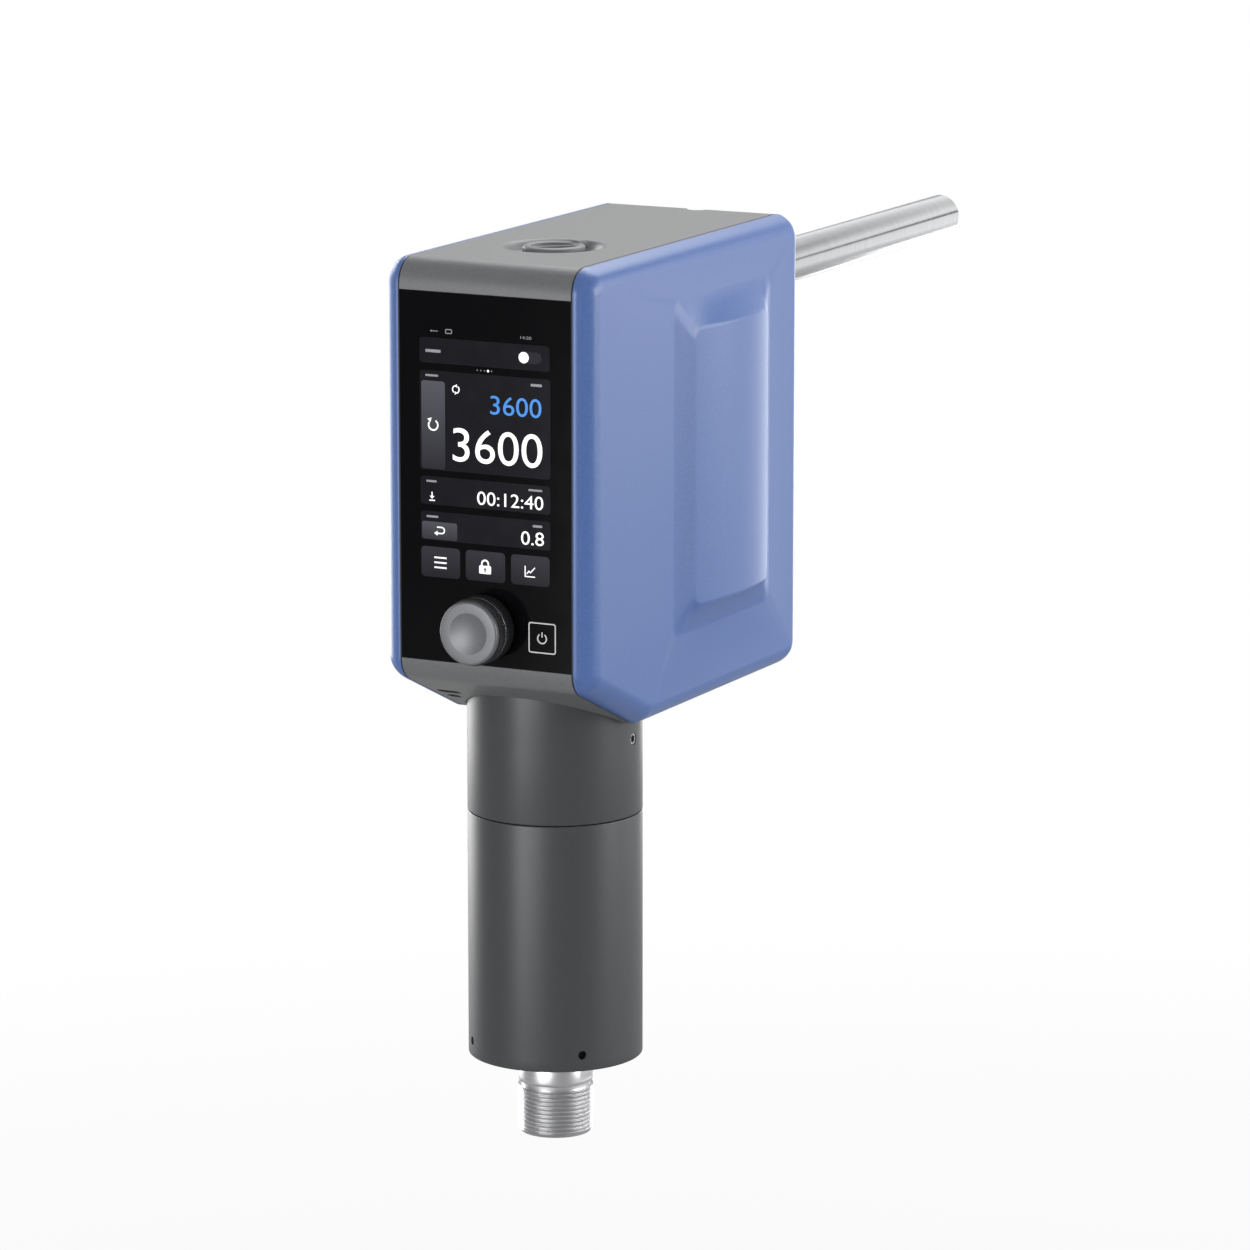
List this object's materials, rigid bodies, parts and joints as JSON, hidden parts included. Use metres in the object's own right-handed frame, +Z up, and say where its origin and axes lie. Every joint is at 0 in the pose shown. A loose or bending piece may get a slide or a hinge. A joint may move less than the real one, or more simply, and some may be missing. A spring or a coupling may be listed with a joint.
{
  "type": "overhead stirrer",
  "caption": "Overhead laboratory stirrer: touch panel and push knob in front, drive tube with threaded collar below, hollow spindle and rear support rod.",
  "frame": {"origin": "on the support rod's axis, halfway along its free length behind the housing", "axes": "+Y along the rod, away from the housing; +Z up; +X to the right seen from the panel"},
  "size_m": [0.0942, 0.392, 0.313],
  "materials": {
    "grey_paint": "satin grey powder coat on a die casting",
    "blue_paint": "satin grey-blue powder coat",
    "black_glass": "gloss black printed cover glass",
    "tube_paint": "satin dark grey coat on a turned tube",
    "steel": "ground stainless steel",
    "aluminium": "machined aluminium",
    "copper": "enamelled copper wire",
    "rubber": "soft black rubber",
    "dark_plastic": "moulded dark plastic",
    "light_plastic": "moulded light plastic",
    "cap_plastic": "moulded grey plastic",
    "board_green": "green circuit board"
  },
  "bodies": {
    "root": {"centre_frame": "grey_paint", "right_cover": "blue_paint", "left_cover": "blue_paint", "front_glass": "black_glass", "display_module": "light_plastic", "control_board": "board_green", "encoder_body": "dark_plastic", "data_socket": "dark_plastic", "sensor_socket": "dark_plastic", "upper_tube": "tube_paint", "lower_tube": "tube_paint", "seam_spigot": "aluminium", "tube_flange": "aluminium", "base_plate": "tube_paint", "upper_bearing_outer": "steel", "lower_bearing_outer": "steel", "stator_core": "steel", "stator_windings": "copper", "threaded_collar": "steel", "shaft_seal": "rubber", "support_rod": "steel", "rod_clamp_block": "aluminium", "clamp_screw_1": "steel", "clamp_screw_2": "steel", "guide_tube": "light_plastic", "power_inlet": "dark_plastic", "supply_board": "board_green", "supply_choke": "copper", "supply_capacitor_1": "dark_plastic", "supply_capacitor_2": "dark_plastic", "ribbon_cable": "light_plastic", "tube_grub_screw_1": "steel", "tube_grub_screw_2": "steel", "rim_screw_1": "steel", "base_screw_1": "steel", "rim_screw_2": "steel", "base_screw_2": "steel", "rim_screw_3": "steel", "base_screw_3": "steel", "rim_screw_4": "steel", "base_screw_4": "steel"},
    "spindle": {"spindle": "steel", "rotor_core": "steel", "rotor_magnets": "dark_plastic", "upper_bearing_inner": "steel", "upper_bearing_balls": "steel", "lower_bearing_inner": "steel", "lower_bearing_balls": "steel"},
    "push": {"switch_plunger": "light_plastic"},
    "knob": {"knob_cap": "aluminium", "knob_grip": "rubber", "knob_ring": "aluminium", "knob_body": "dark_plastic", "encoder_shaft": "steel"},
    "cap": {"top_cap": "cap_plastic", "cap_seal": "rubber"}
  },
  "joints": [
    {"name": "spindle_spin", "type": "hinge", "parent": "root", "child": "spindle", "pos_m": [0, -0.22151, -0.2213], "axis": [0, 0, 1], "continuous": true},
    {"name": "knob_push", "type": "slide", "parent": "root", "child": "push", "axis": [0, 1, 0], "range_m": [0, 0.0006], "stiffness_N_per_m": 2000, "springref_m": -0.0015},
    {"name": "knob_turn", "type": "hinge", "parent": "push", "child": "knob", "pos_m": [0, -0.27885, -0.0947], "axis": [0, -1, 0], "continuous": true},
    {"name": "cap_lift", "type": "slide", "parent": "root", "child": "cap", "axis": [0, 0, 1], "range_m": [0, 0.02]}
  ]
}
